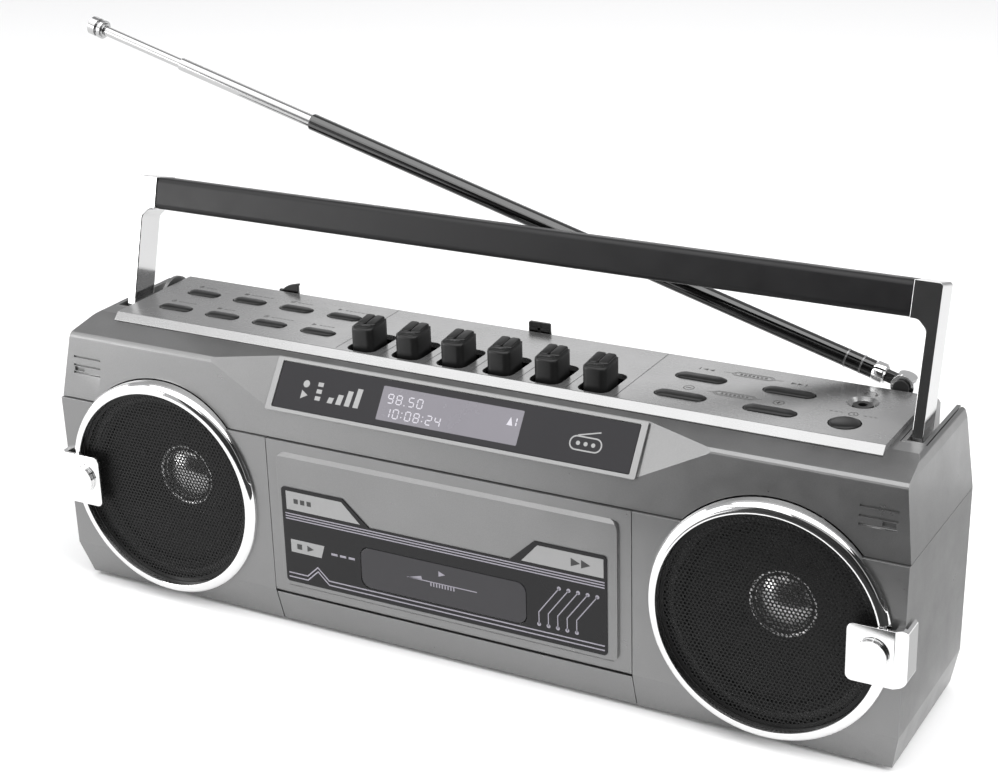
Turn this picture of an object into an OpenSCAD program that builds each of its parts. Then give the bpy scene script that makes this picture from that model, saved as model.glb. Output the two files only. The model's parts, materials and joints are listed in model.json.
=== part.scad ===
// Portable radio cassette recorder: a wide, shallow cabinet with two round
// speakers, a cassette door between them, piano keys and push buttons on top,
// a folding carrying handle and a telescopic antenna.
// Millimetres. +X is to the right of a person facing the front, +Y is back,
// +Z is up. The origin lies on the standing surface, under the middle of the
// cabinet. Inside the modules, y runs from the front face of the lower cabinet
// and z from its underside; place() moves that to the origin.

/* [Cabinet] */
// Width of the cabinet at the parting line
body_w = 380; // [376:1:384]
// Depth of the cabinet
body_d = 75; // [75:1:78]
// Height of the parting line between the lower and the upper cabinet
split_h = 85.1; // [84.5:0.1:85.5]
// Height of the cabinet's top face
body_h = 117.4; // [117:0.1:118]
// Wall thickness of the mouldings
wall = 2.5; // [2.2:0.1:2.8]
// Height of the rubber feet
foot_h = 2; // [1.5:0.5:3]

/* [Speakers] */
// Distance of each speaker's centre from the middle
speaker_x = 137.7; // [136:0.1:138]
// Height of the speaker centres
speaker_z = 51.4; // [51:0.1:52]
// Outer radius of the trim ring
ring_r = 48.3; // [47:0.1:48.5]
// Width of the trim ring, seen from the front
ring_band = 4.6; // [4.4:0.1:6]

/* [Cassette door] */
// Half of the door's width
door_half = 82.7; // [82:0.1:83]
// Height of the door's lower edge
door_z0 = 14.8; // [14.8:0.1:15.2]
// Angle that the door swings open
door_angle = 30; // [20:1:35]

/* [Keys and buttons] */
// Distance between two piano keys
key_pitch = 21; // [20.8:0.1:21.2]
// Width of a piano key
key_w = 9.6; // [9:0.1:10.5]
// Height of the control plate's top face
plate_h = 119.7; // [119.5:0.1:120]
// Distance between two of the eight small buttons
button_pitch = 24.5; // [24:0.1:25]
// Length of a small button
button_w = 16; // [14:0.5:17]
// Length of a tuning or volume button
wide_button_w = 20.6; // [18:0.2:22]

/* [Handle] */
// Angle that the raised handle leans back
handle_lean = 15.6; // [15:0.1:16]
// Length of the handle from its pivot to the top of the grip
handle_l = 69.4; // [68:0.1:70]
// Height of the grip
grip_h = 14; // [12:0.5:14]

/* [Antenna] */
// Angle that the antenna stands above the horizontal
antenna_rise = 16; // [14:0.5:18]
// Length of the outer antenna tube
antenna_l = 276; // [270:1:278]
// How far the middle tube is pulled out
middle_out = 70; // [60:1:75]
// How far the inner tube is pulled out
inner_out = 42; // [40:1:45]

/* [Hidden] */

$fn = 48;
gap = 0.3;               // gap between neighbouring mouldings
run = 0.05;              // radial clearance of a running fit
far = 400;               // longer than any part, for cutting
above = 125;             // higher than the control plate, for cutting

half_w = body_w / 2;
crease_h = 15.5;         // where the bevel at the bottom starts
ridge_h = 113.1;         // front edge of the sloping top
ridge_y = 5.7;
top_y = 24.5;            // where the sloping top meets the flat top
lip_y = 1.4;             // the lower cabinet stands this far proud
bevel_y = 4.5;           // set-back of the front at the underside
side = [[half_w - 4.1, 0], [half_w - 0.9, crease_h], [half_w, split_h],
    [half_w - 3.7, ridge_h], [half_w - 5, body_h]];

// display recess: corners of the sloping frame, and the tips of its facets
frame_foot = [84, 2.3, 96.3];
frame_head = [83, 15.6, 115.3];
facet_tip = [113.5, ridge_y, 112.7];
frame_tilt = atan2(frame_head[2] - frame_foot[2], frame_head[1] - frame_foot[1]);
frame_len = norm([frame_head[1] - frame_foot[1], frame_head[2] - frame_foot[2]]);

door_hinge = [2, door_z0 + 2];          // y and z of the door's hinge line
door_top = split_h - 0.4;
hinge_pin_r = 1;
pin_l = 4.5;                             // how far a hinge pin goes into the door
boss_y = 7;                              // depth of the rim round each speaker
hub_x = 21.25;                           // half the distance between the hubs
hub_z = 46;
capstan = [14, 76];                      // x and z
motor_at = [52, 38];
flywheel_r = 20;
pulley_r = 4;
deck_y = 26;                             // front face of the chassis plate
shelf_z = 98;                            // underside of the chassis shelf

key_mid = 1.9;
key_y = [26, 39.3];                      // front and back of a key's cap
key_pivot = [66, 106];                   // y and z of the key rod
key_rod_r = 2;
button_x0 = -151.6;
row_left = [56.2, 35.9];                 // y of the back and the front row
row_right = [54.4, 34.5];
tune_x = [87, 123.3];
alarm_at = [152.3, 34.9];
jack_at = [151.7, 56.5];
button_d = 5.4;
wide_button_d = 6.2;
well_z = 100;                            // the cabinet's top is cut away above this
stem_z = 113.3;                          // lower end of a button's stem
flange_z = 116;                          // underside of a button's flange
board_z = 108.6;                         // underside of the switch boards

handle_pivot = [41.4, 103];              // y and z
arm_x = [176.4, 180.5];                  // inner and outer face of an arm
grip_end = 169.8;
channel_x = [175.9, 182.0];              // the slot that an arm stands in
channel_y0 = 34.4;
channel_floor = 91.5;
plate_half = 172.3;

antenna_at = [160, 81, 120];
tube_r = [3.6, 2.8, 2.15];
bore_start = 14;                         // closed end of the outer tube's bore
middle_start = bore_start + middle_out + 2;
inner_start = middle_start + 4 + inner_out + 2;

// ---- helpers ----
module place() translate([0, -body_d / 2, foot_h]) children();

// an outline in y and z, swept along x from x0 to x1
module sweep_x(points, x0, x1)
    translate([x0, 0, 0]) rotate([90, 0, 90]) linear_extrude(x1 - x0) polygon(points);

// an outline in x and z, swept along y from y0 to y1
module sweep_y(points, y0, y1)
    translate([0, y1, 0]) rotate([90, 0, 0]) linear_extrude(y1 - y0) polygon(points);

// a cylinder along +Y from y0 to y1
module rod_y(x, z, r, y0, y1)
    translate([x, y0, z]) rotate([-90, 0, 0]) cylinder(h = y1 - y0, r = r);

// a cylinder along +X from x0 to x1
module rod_x(y, z, r, x0, x1)
    translate([x0, y, z]) rotate([0, 90, 0]) cylinder(h = x1 - x0, r = r);

// a box given by its lowest and highest corners
module block(low, high) translate(low) cube(high - low);

// everything on the side of a plane that its normal points to
module half_space(point, normal)
    translate(point)
        rotate([0, acos(normal[2] / norm(normal)), atan2(normal[1], normal[0])])
            translate([-far, -far, 0]) cube([2 * far, 2 * far, far]);

function unit(v) = v / norm(v);

// the corner b of a path a-b-c, rounded to radius r
function round_corner(a, b, c, r, steps = 5) =
    let (u = unit(a - b), v = unit(c - b), half = acos(u * v) / 2,
        t = r / tan(half), o = b + unit(u + v) * r / sin(half))
    [for (i = [0:steps]) let (p = b + (u * (steps - i) + v * i) * t / steps)
        o + unit(p - o) * r];

// a closed outline with every corner rounded to the radius listed for it
function rounded(points, radii, steps = 5) =
    let (n = len(points))
    [for (i = [0:n - 1]) each radii[i] > 0
        ? round_corner(points[(i + n - 1) % n], points[i],
            points[(i + 1) % n], radii[i], steps)
        : [points[i]]];

function rectangle(low, high) =
    [low, [high[0], low[1]], high, [low[0], high[1]]];

function rounded_rectangle(low, high, r) =
    rounded(rectangle(low, high), [r, r, r, r]);

// a flat slot shape: two true half circles and a rectangle
module slot_shape(w, d, h) {
    translate([-(w - d) / 2, -d / 2, 0]) cube([w - d, d, h]);
    for (s = [-1, 1]) translate([s * (w - d) / 2, 0, 0]) cylinder(h = h, d = d);
}

// ---- cabinet ----
module outside_of_cabinet(inset = 0)
    sweep_y(rounded(concat(
            [for (p = side) [p[0] - inset, p[1] - (p[1] == body_h ? inset : 0)]],
            [for (i = [len(side) - 1:-1:0])
                [inset - side[i][0], side[i][1] - (i == len(side) - 1 ? inset : 0)]]),
        [0, 0, 0, 0, 2, 2, 0, 0, 0, 0]), -10, far);

// the volume in front of the sloping display frame and its two facets
module display_cut(depth = 0) {
    into = [0, sin(frame_tilt), -cos(frame_tilt)] * depth;
    face = cross(frame_head - frame_foot, [1, 0, 0]);
    facet = cross(frame_head - facet_tip, frame_foot - facet_tip);
    mirrored = [-facet[0], facet[1], facet[2]];
    intersection() {
        half_space(frame_foot + into, face * (face[2] > 0 ? 1 : -1));
        half_space(facet_tip + into, facet * (facet[2] > 0 ? 1 : -1));
        half_space([-facet_tip[0], facet_tip[1], facet_tip[2]] + into,
            mirrored * (mirrored[2] > 0 ? 1 : -1));
        block([-150, -20, 90], [150, 40, 140]);
    }
}

module at_speakers() for (s = [-1, 1]) translate([s * speaker_x, 0, speaker_z]) children();

screw_low = [[-176, 11], [176, 11], [-96, 9], [96, 9]];
screw_high = [[-120, 106], [120, 106]];

// the front opening that the door and the strip below it fill
module front_opening() difference() {
    union() {
        block([-door_half - gap, -5, -5], [door_half + gap, wall + 0.1, body_h]);
        block([-door_half - gap, -5, -5],
            [door_half + gap, bevel_y + wall + gap, crease_h + gap]);
    }
    hinge_pins();
}

module hinge_pins() for (s = [0, 1]) mirror([s, 0, 0])
    rod_x(door_hinge[0], door_hinge[1], hinge_pin_r, door_half - pin_l, door_half + 2);

module lower_cabinet() color("gray") place() {
    difference() {
        union() {
            intersection() {
                sweep_x([[bevel_y, 0], [0, crease_h], [0, split_h - gap],
                    [body_d, split_h - gap], [body_d, 0]], -far, far);
                outside_of_cabinet();
            }
            at_speakers() rod_y(0, 0, ring_r - 0.5, 0, boss_y);
            hinge_pins();
        }
        intersection() {
            sweep_x([[bevel_y + wall, wall], [wall, crease_h], [wall, body_h],
                [body_d + 1, body_h], [body_d + 1, wall]], -far, far);
            outside_of_cabinet(wall);
        }
        at_speakers() {
            rod_y(0, 0, ring_r - ring_band + 0.1, -5, 10);
            rod_y(0, 0, ring_r - 1.5, wall, 10);
        }
        front_opening();
    }
    for (p = screw_low) difference() {
        union() {
            rod_y(p[0], p[1], 3.5, 60, 72.3);
            block([p[0] - 1, 60, wall - 0.5], [p[0] + 1, 72.3, p[1] - 2]);
        }
        rod_y(p[0], p[1], 1.25, 62, 73);
    }
}

module centre_strip() color("gray") place()
    sweep_x([[bevel_y, 0], [bevel_y * (1 - (door_z0 - 0.4) / crease_h), door_z0 - 0.4],
        [bevel_y * (1 - (door_z0 - 0.4) / crease_h) + wall, door_z0 - 0.4],
        [bevel_y + wall, 0]], -door_half, door_half);

module upper_cabinet() color("gray") place() {
    difference() {
        intersection() {
            sweep_x(rounded([[lip_y, split_h], [ridge_y, ridge_h], [top_y, body_h],
                [body_d, body_h], [body_d, split_h]], [0, 3, 0, 2, 0]), -far, far);
            outside_of_cabinet();
        }
        difference() {
            intersection() {
                sweep_x([[lip_y + wall, split_h - 5], [ridge_y + wall, ridge_h - wall + 0.4],
                    [top_y + 0.5, body_h - wall], [body_d + 1, body_h - wall],
                    [body_d + 1, split_h - 5]], -far, far);
                outside_of_cabinet(wall);
            }
            display_cut(wall);
        }
        display_cut();
        at_speakers() rod_y(0, 0, ring_r + 0.4, -5, 8);
        // window for the display module behind its frame
        translate([0, frame_foot[1], frame_foot[2]]) rotate([frame_tilt, 0, 0])
            block([-72, 3, -9], [72, frame_len - 3, 5]);
        // wells under the keys and the two groups of buttons
        block([-62, 22.9, well_z], [66, 70, above]);
        block([-164, 29, well_z], [-66, 64, above]);
        block([70, 27, well_z], [164, 64, above]);
        // slots for the handle channels
        for (s = [0, 1]) mirror([s, 0, 0])
            block([174, channel_y0 - 1.7, 80], [184.1, body_d + 5, above]);
        // marks beside the speakers: three grooves and a small recess
        for (s = [0, 1]) mirror([s, 0, 0]) {
            for (z = [96.4, 99.6, 103.2])
                block([169.6, -2, z - 0.45], [184, mark_y(z) + 0.7, z + 0.45]);
            block([178.2, -2, 97.1], [183.4, mark_y(98) + 0.9, 98.9]);
        }
    }
    for (p = screw_high) difference() {
        union() {
            rod_y(p[0], p[1], 3.5, 65, 72.3);
            block([p[0] - 1, 65, p[1] + 2], [p[0] + 1, 72.3, body_h - wall + 0.5]);
        }
        rod_y(p[0], p[1], 1.25, 66, 73);
    }
}

// y of the upper cabinet's front face at height z
function mark_y(z) = lip_y + (ridge_y - lip_y) * (z - split_h) / (ridge_h - split_h);

cover_y = [72.6, 74.8];
tray = [56, 8, 38];            // half width, lower and upper height inside

module rear_cover() color("dimgray") place() {
    difference() {
        union() {
            intersection() {
                block([-far, cover_y[0], wall + gap], [far, cover_y[1], body_h - wall - gap]);
                outside_of_cabinet(wall + gap);
            }
            block([-tray[0] - 2, 55.4, tray[1] - 2], [tray[0] + 2, cover_y[1], tray[2] + 2]);
        }
        block([-tray[0], 57.2, tray[1]], [tray[0], cover_y[1] + 1, tray[2]]);
        block([-tray[0] - 1.6, cover_y[0], tray[1] - 1.2],
            [tray[0] + 1.6, cover_y[1] + 1, tray[2] + 1.6]);
        for (s = [0, 1]) mirror([s, 0, 0]) {
            block([174, 70, 89.7], [184.3, 80, 120]);
            block([174, 70, 102], [190, 80, 120]);
        }
        for (p = concat(screw_low, screw_high)) {
            rod_y(p[0], p[1], 1.7, 70, 80);
            rod_y(p[0], p[1], 3.2, 73.6, 80);
        }
        for (s = [-1, 1], i = [0:6])
            block([s * speaker_x - 22, 70, 34 + 5 * i], [s * speaker_x + 22, 80, 36 + 5 * i]);
        block([-103.2, 70, 26.8], [-84.8, 80, 41.2]);
    }
}

module feet() color("black") place()
    for (x = [-160, 160], y = [17, 61])
        translate([x, y, -foot_h]) cylinder(h = foot_h, r1 = 6.4, r2 = 7);

module case_screws() color("silver") place()
    for (p = concat(screw_low, screw_high)) {
        rod_y(p[0], p[1], 1.2, 66, 73.7);
        difference() {
            rod_y(p[0], p[1], 2.9, 73.65, 74.7);
            for (a = [0, 90]) translate([p[0], 74.8, p[1]]) rotate([0, a, 0])
                block([-1.8, -0.6, -0.35], [1.8, 0.6, 0.35]);
        }
    }

// ---- display ----
module on_frame()
    place() translate([0, frame_foot[1], frame_foot[2]]) rotate([frame_tilt, 0, 0]) children();

module display_bezel() color("silver") on_frame() difference() {
    translate([0, 0, 0.05]) linear_extrude(0.9)
        polygon(rounded_rectangle([-83.4, 0.3], [83.4, frame_len - 0.3], 0.8));
    translate([0, 0, -2]) linear_extrude(5)
        polygon(rounded_rectangle([-80.6, 1.9], [80.6, frame_len - 1.7], 0.5));
}

module display_glass() color("black") on_frame() translate([0, 0, 0.06]) linear_extrude(0.55)
    polygon(rounded_rectangle([-80.4, 2.1], [80.4, frame_len - 1.9], 0.4));

module lcd_module() color("dimgray") on_frame() {
    block([-34, 3.4, -4.2], [34, 20, -0.1]);
    block([-40, 3.4, -5.8], [40, 19.6, -4.2]);
}

// ---- speakers ----
ring_y = 3.2;                   // how far the ring stands out

module speaker_rings() color("silver") place() at_speakers() rotate([90, 0, 0])
    rotate_extrude($fn = 96) polygon(rounded([[ring_r - ring_band, 0.02],
        [ring_r, 0.02], [ring_r, 1.8], [ring_r - 1.5, ring_y],
        [ring_r - 2.9, ring_y], [ring_r - ring_band, 1.2]],
        [0, 0, 1, 0.8, 0.8, 0.5], 3));

clip_x = [169.5, 191.6];
clip_z = [38, 61];
clip_front = -ring_y - 1.4;

module ring_clips() color("silver") place() for (s = [0, 1]) mirror([s, 0, 0]) {
    difference() {
        intersection() {
            sweep_y(rounded_rectangle([clip_x[0], clip_z[0]], [clip_x[1], clip_z[1]], 2.5),
                clip_front, 9);
            // the corner towards the side of the cabinet is bent in two steps
            linear_extrude(90) polygon([[0, clip_front], [clip_x[1] - 4.2, clip_front],
                [clip_x[1], clip_front + 3.2], [clip_x[1], 20], [0, 20]]);
        }
        block([0, -ring_y - 0.05, 0], [clip_x[1] - 4.6, 20, 90]);
        block([0, 0, 0], [half_w + 0.3, 20, 90]);
    }
    rod_y(179, 49.9, 6.3, clip_front - 1.8, clip_front);
}

module speaker_grilles() color("black") place() at_speakers()
    rod_y(0, 0, ring_r - ring_band - 0.1, 0.3, 1.3);

module speaker_frames() color("dimgray") place() at_speakers() rotate([-90, 0, 0]) {
    difference() {
        union() {
            translate([0, 0, 2.55]) cylinder(h = 1.5, r = 46.5);
            translate([0, 0, 4]) cylinder(h = 16, r1 = 40, r2 = 19);
        }
        translate([0, 0, 2]) cylinder(h = 2.3, r = 38.6);
        translate([0, 0, 4.2]) cylinder(h = 14, r1 = 38.6, r2 = 17);
        for (a = [45:90:315]) rotate(a) translate([43.5, 0, 0]) cylinder(h = 8, r = 1.6);
    }
    translate([0, 0, 19.9]) cylinder(h = 3, r = 24);
    translate([0, 0, 22.9]) cylinder(h = 10, r = 21);
}

module speaker_cones() color("black") place() at_speakers() rotate([-90, 0, 0]) {
    difference() {
        translate([0, 0, 4.4]) cylinder(h = 12.4, r1 = 37.2, r2 = 12.4);
        translate([0, 0, 3.9]) cylinder(h = 12.2, r1 = 37.0, r2 = 12.2);
    }
    translate([0, 0, 16.0]) cylinder(h = 2.2, r = 14);
}

// ---- cassette door ----
module cassette_door() color("gray") place() difference() {
    union() {
        block([-door_half, 0, door_hinge[1]], [door_half, 4, door_top]);
        rod_x(door_hinge[0], door_hinge[1], 2, -door_half, door_half);
        // raised panel with a bevelled edge
        intersection() {
            sweep_y(rounded_rectangle([-77.3, 19.3], [77.3, 80.2], 4), -1.3, 0.5);
            sweep_x([[0.5, 18], [0.5, 82], [0, 80.2], [-1.3, 78.6], [-1.3, 20.6],
                [0, 19.3]], -100, 100);
        }
    }
    sweep_y(rounded_rectangle([-38.3, 27.2], [38.3, 45.8], 4), -5, 10);
    for (s = [0, 1]) mirror([s, 0, 0])
        rod_x(door_hinge[0], door_hinge[1], hinge_pin_r + run, door_half - pin_l - 0.5,
            door_half + 1);
}

label_low = [-75.5, 22.2];
label_high = [73.2, 64.8];
tab_z = 54.7;

module door_label() color([0.16, 0.16, 0.18]) place() difference() {
    sweep_y(rounded([label_low, [label_high[0], label_low[1]],
        [label_high[0], 64.8], [42, 64.8], [31, tab_z], [-33.4, tab_z],
        [-45.6, 65.3], [label_low[0], 65.3]], [1.5, 1.5, 1.5, 1, 0, 0, 1, 1.5]),
        -1.75, -1.35);
    sweep_y(rounded_rectangle([-38.3, 27.2], [38.3, 45.8], 4), -5, 10);
}

module door_window() color([0.25, 0.25, 0.27]) place()
    sweep_y(rounded_rectangle([-38, 27.5], [38, 45.5], 4), -1.7, 0.6);

holder_back = 18.6;

module cassette_holder() color("dimgray") place() {
    for (s = [0, 1]) mirror([s, 0, 0]) {
        block([51.2, 4.05, 17.2], [52.8, holder_back, 62]);
        block([42, holder_back - 1.4, 17.2], [52.8, holder_back, 62]);
        block([51.2, 4.05, 17.2], [60, 5.4, 62]);
    }
    block([-52.8, 4.05, 17.2], [52.8, holder_back, 18.4]);
}

// ---- keys ----
function key_x(i) = key_mid + (i - 2.5) * key_pitch;

module piano_key(i, colour = [0.1, 0.1, 0.1]) color(colour) place()
    translate([key_x(i), 0, 0]) difference() {
        union() {
            intersection() {
                sweep_x(rounded([[key_y[0], 112], [key_y[0], 128.3], [key_y[1], 129.7],
                    [key_y[1], 112]], [0, 2.2, 1.2, 0]), -key_w / 2, key_w / 2);
                translate([0, 0, 111]) linear_extrude(20)
                    polygon(rounded([[-key_w / 2, key_y[0]], [key_w / 2, key_y[0]],
                        [key_w / 2, key_y[1]], [-key_w / 2, key_y[1]]], [2, 2, 1, 1]));
            }
            sweep_x([[28, 106.5], [28, 112.2], [56, 112.2], [key_pivot[0], key_pivot[1] + 4],
                [key_pivot[0], key_pivot[1] - 4], [56, 106.5]], -3, 3);
            rod_x(key_pivot[0], key_pivot[1], 4, -4, 4);
        }
        rod_x(key_pivot[0], key_pivot[1], key_rod_r + run, -5, 5);
    }

module record_key() piano_key(0);
module play_key() piano_key(1);
module rewind_key() piano_key(2);
module forward_key() piano_key(3);
module stop_key() piano_key(4);
module pause_key() piano_key(5);

// rounded opening in the control plate round one key
module key_opening(i)
    translate([key_x(i), 0, 110]) linear_extrude(20)
        polygon(rounded_rectangle([-6.8, 23.4], [6.8, 45.5], 4));

// ---- buttons ----
// a cap with a domed top, a flange that keeps it in, and a stem to its switch
module slot_button(x, y, w, d) color([0.08, 0.08, 0.08]) place() translate([x, y, 0]) {
    translate([0, 0, flange_z + 0.4]) slot_shape(w, d, plate_h - flange_z + 0.1);
    translate([0, 0, plate_h + 0.4]) slot_shape(w - 1, d - 1, 0.7);
    translate([0, 0, flange_z]) slot_shape(w + 2.4, d + 2.4, 1.1);
    translate([0, 0, stem_z]) cylinder(h = 3, r = 1.6);
}

function small_x(i) = button_x0 + i * button_pitch;
module small_button(row, i) slot_button(small_x(i), row_left[row], button_w, button_d);
module wide_button(row, i) slot_button(tune_x[i], row_right[row], wide_button_w, wide_button_d);

module power_button() small_button(0, 0);
module mode_button() small_button(0, 1);
module menu_button() small_button(0, 2);
module select_button() small_button(0, 3);
module scan_button() small_button(1, 0);
module preset_button() small_button(1, 1);
module folder_button() small_button(1, 2);
module info_button() small_button(1, 3);
module tune_down_button() wide_button(0, 0);
module tune_up_button() wide_button(0, 1);
module volume_down_button() wide_button(1, 0);
module volume_up_button() wide_button(1, 1);

module alarm_button() color([0.08, 0.08, 0.08]) place() translate([alarm_at[0], alarm_at[1], 0]) {
    translate([0, 0, flange_z + 0.4]) cylinder(h = plate_h - flange_z + 0.1, r = 5.9);
    translate([0, 0, plate_h + 0.4]) cylinder(h = 0.7, r1 = 5.5, r2 = 5);
    translate([0, 0, flange_z]) cylinder(h = 1.1, r = 7);
    translate([0, 0, stem_z]) cylinder(h = 3, r = 1.6);
}

module headphone_jack() color([0.1, 0.1, 0.1]) place() translate([jack_at[0], jack_at[1], 0])
    difference() {
        union() {
            translate([0, 0, 103]) cylinder(h = 15.9, r = 3.8);
            translate([-5, -6, 103]) cube([10, 12, 9]);
        }
        translate([0, 0, 104.5]) cylinder(h = 20, r = 1.78);
    }

module control_plate() color([0.72, 0.71, 0.7]) place() difference() {
    sweep_x(rounded([[18.4, 116.1], [22, plate_h], [74.3, plate_h], [74.3, body_h + 0.05],
        [top_y, body_h + 0.05]], [0.3, 0.8, 0.8, 0, 0], 3), -plate_half, plate_half);
    for (i = [0:5]) key_opening(i);
    for (r = [0, 1], i = [0:3]) translate([small_x(i), row_left[r], 110])
        slot_shape(button_w + 0.8, button_d + 0.8, 20);
    for (r = [0, 1], i = [0, 1]) translate([tune_x[i], row_right[r], 110])
        slot_shape(wide_button_w + 0.8, wide_button_d + 0.8, 20);
    translate([alarm_at[0], alarm_at[1], 110]) cylinder(h = 20, r = 6.3);
    translate([jack_at[0], jack_at[1], 110]) cylinder(h = 20, r = 4.1);
    translate([jack_at[0], jack_at[1], plate_h - 1.6]) cylinder(h = 1.7, r1 = 4.4, r2 = 6.3);
}

// ---- handle ----
module at_handle() place() translate([0, handle_pivot[0], handle_pivot[1]])
    rotate([-handle_lean, 0, 0]) children();

module handle_arm() color("silver") at_handle() {
    intersection() {
        sweep_y(rounded([[arm_x[0], -7], [arm_x[1], -7], [arm_x[1], handle_l],
            [grip_end, handle_l], [grip_end, handle_l - grip_h],
            [arm_x[0] - 3.5, handle_l - grip_h], [arm_x[0], handle_l - grip_h - 3.5]],
            [0, 0, 1.5, 0, 0, 3, 3]), -20, 20);
        union() {
            rod_x(0, 0, 6.5, 0, far);
            block([0, -6.5, 0], [far, 6.5, far]);
        }
    }
    rod_x(0, 0, 2.5, channel_x[0] - 1.4, channel_x[1] + 1.4);
}

module right_handle_arm() handle_arm();
module left_handle_arm() mirror([1, 0, 0]) handle_arm();

module handle_grip() color([0.1, 0.1, 0.11]) at_handle()
    sweep_x(rounded([[-6.4, handle_l - grip_h + 0.1], [6.4, handle_l - grip_h + 0.1],
        [6.4, handle_l - 0.1], [-6.4, handle_l - 0.1]], [2.5, 2.5, 2.5, 2.5]),
        -grip_end + 0.02, grip_end - 0.02);

module handle_channels() color([0.08, 0.08, 0.08]) place()
    for (s = [0, 1]) mirror([s, 0, 0]) difference() {
        union() {
            block([channel_x[0] - 1.6, channel_y0 - 1.4, 90], [channel_x[1] + 1.6, 74.9, body_h]);
            // the inner wall rises to a rounded hump behind the control plate
            intersection() {
                rod_x(66, 111, 10.5, channel_x[0] - 1.6, channel_x[0]);
                block([0, 50, body_h - 5], [far, 74.9, 122]);
            }
        }
        block([channel_x[0], channel_y0, channel_floor], [channel_x[1], 80, 130]);
        rod_x(handle_pivot[0], handle_pivot[1], 2.5 + run, 170, 190);
    }

// ---- antenna ----
module at_antenna() place() translate(antenna_at) rotate([0, antenna_rise, 0]) children();

// the rotating knuckle: a base disc, two ears and the pin through the tube's tongue
module antenna_turret() color("silver") at_antenna() difference() {
    union() {
        rod_y(0, 0, 4.6, -4.4, -2.6);
        for (s = [-1, 1]) translate([0, 0, s * 3 - 0.7]) {
            cylinder(h = 1.4, r = 3.7);
            block([-3, -3.8, 0], [3, 0, 1.4]);
        }
        translate([0, 0, -3.7]) cylinder(h = 7.4, r = 1.1);
    }
    rod_y(0, 0, 1.5 + run, -6, -2);
}

module antenna_outer_tube() color("silver") at_antenna() difference() {
    union() {
        translate([0, 0, -2.1]) cylinder(h = 4.2, r = 2.4);
        block([-10, -1.6, -2.1], [0, 1.6, 2.1]);
        rotate([0, -90, 0]) translate([0, 0, 8]) cylinder(h = antenna_l - 8, r = tube_r[0]);
    }
    translate([0, 0, -5]) cylinder(h = 10, r = 1.1 + run);
    rotate([0, -90, 0]) translate([0, 0, bore_start])
        cylinder(h = far, r = tube_r[1] + run);
}

module antenna_middle_tube() color("silver") at_antenna() rotate([0, -90, 0]) difference() {
    translate([0, 0, middle_start])
        cylinder(h = antenna_l + middle_out - middle_start, r = tube_r[1]);
    translate([0, 0, middle_start + 4]) cylinder(h = far, r = tube_r[2] + run);
}

module antenna_inner_tube() color("silver") at_antenna() rotate([0, -90, 0]) {
    translate([0, 0, inner_start])
        cylinder(h = antenna_l + middle_out + inner_out - inner_start + 1, r = tube_r[2]);
    translate([0, 0, antenna_l + middle_out + inner_out]) {
        cylinder(h = 8.4, r = 3.2);
        translate([0, 0, 0.9]) cylinder(h = 1.8, r = 4.1);
        translate([0, 0, 4]) cylinder(h = 3.6, r = 4.1);
    }
}

// two hooks for the folded antenna, and the bracket that its knuckle turns on
module antenna_clips() color([0.08, 0.08, 0.08]) place() {
    for (x = [-119.5, 5.5]) translate([x, 0, 0])
        sweep_x([[75.05, 110], [76.4, 110], [76.4, 114.2], [86.3, 114.2],
            [86.3, 119.4], [85.6, 119.4], [85.6, 115.2], [76.4, 115.2], [76.4, 123.6],
            [75.05, 123.6]], -5, 5);
    block([154, 75.05, 106], [166, 76.3, 118]);
    rod_y(antenna_at[0], antenna_at[2], 4.4, 75.05, 76.3);
    rod_y(antenna_at[0], antenna_at[2], 1.5, 76.3, 78.2);
}

// ---- tape mechanism ----
module deck_chassis() color("lightsteelblue") place() {
    difference() {
        union() {
            block([-70, deck_y, 16], [74, deck_y + 1.5, shelf_z + 1.5]);
            block([-66, deck_y, shelf_z], [71, 70, shelf_z + 1.5]);
            for (x = [-65, 67.6]) block([x, 60, shelf_z + 0.5], [x + 1.6, 71, 110]);
        }
        for (s = [-1, 1]) rod_y(s * hub_x, hub_z, 1.5 + run, 20, 30);
        rod_y(capstan[0], capstan[1], 1 + run, 20, 30);
        rod_y(motor_at[0], motor_at[1], 3, 20, 30);
        for (x = [-30, 0, 30]) block([x - 8, deck_y - 1, 20], [x + 8, deck_y + 3, 30]);
    }
    rod_x(key_pivot[0], key_pivot[1], key_rod_r, -66, 70.5);
    for (x = [-28, 28]) block([x - 1.5, 24.7, 80], [x + 1.5, deck_y, 92]);
}

module motor() color("silver") place() {
    rod_y(motor_at[0], motor_at[1], 14, deck_y + 1.6, 47);
    rod_y(motor_at[0], motor_at[1], 1, 46.9, 53.4);
}

module motor_pulley() color("goldenrod") place() difference() {
    union() {
        rod_y(motor_at[0], motor_at[1], pulley_r, 48, 53);
        for (y = [47.6, 53]) rod_y(motor_at[0], motor_at[1], pulley_r + 1, y, y + 0.5);
    }
    rod_y(motor_at[0], motor_at[1], 1 + run, 40, 60);
}

module flywheel() color("darkgray") place() {
    rod_y(capstan[0], capstan[1], flywheel_r, 48, 53);
    rod_y(capstan[0], capstan[1], 5, 44, 48.1);
    rod_y(capstan[0], capstan[1], 1, 9, 50);
}

module drive_belt() color("black") place() translate([0, 52.3, 0]) rotate([90, 0, 0])
    linear_extrude(3.6) difference() {
        hull() {
            translate(capstan) circle(flywheel_r + 1.2);
            translate(motor_at) circle(pulley_r + 1.2 - 0.6);
        }
        hull() {
            translate(capstan) circle(flywheel_r + 0.15);
            translate(motor_at) circle(pulley_r + 0.15);
        }
    }

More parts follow.
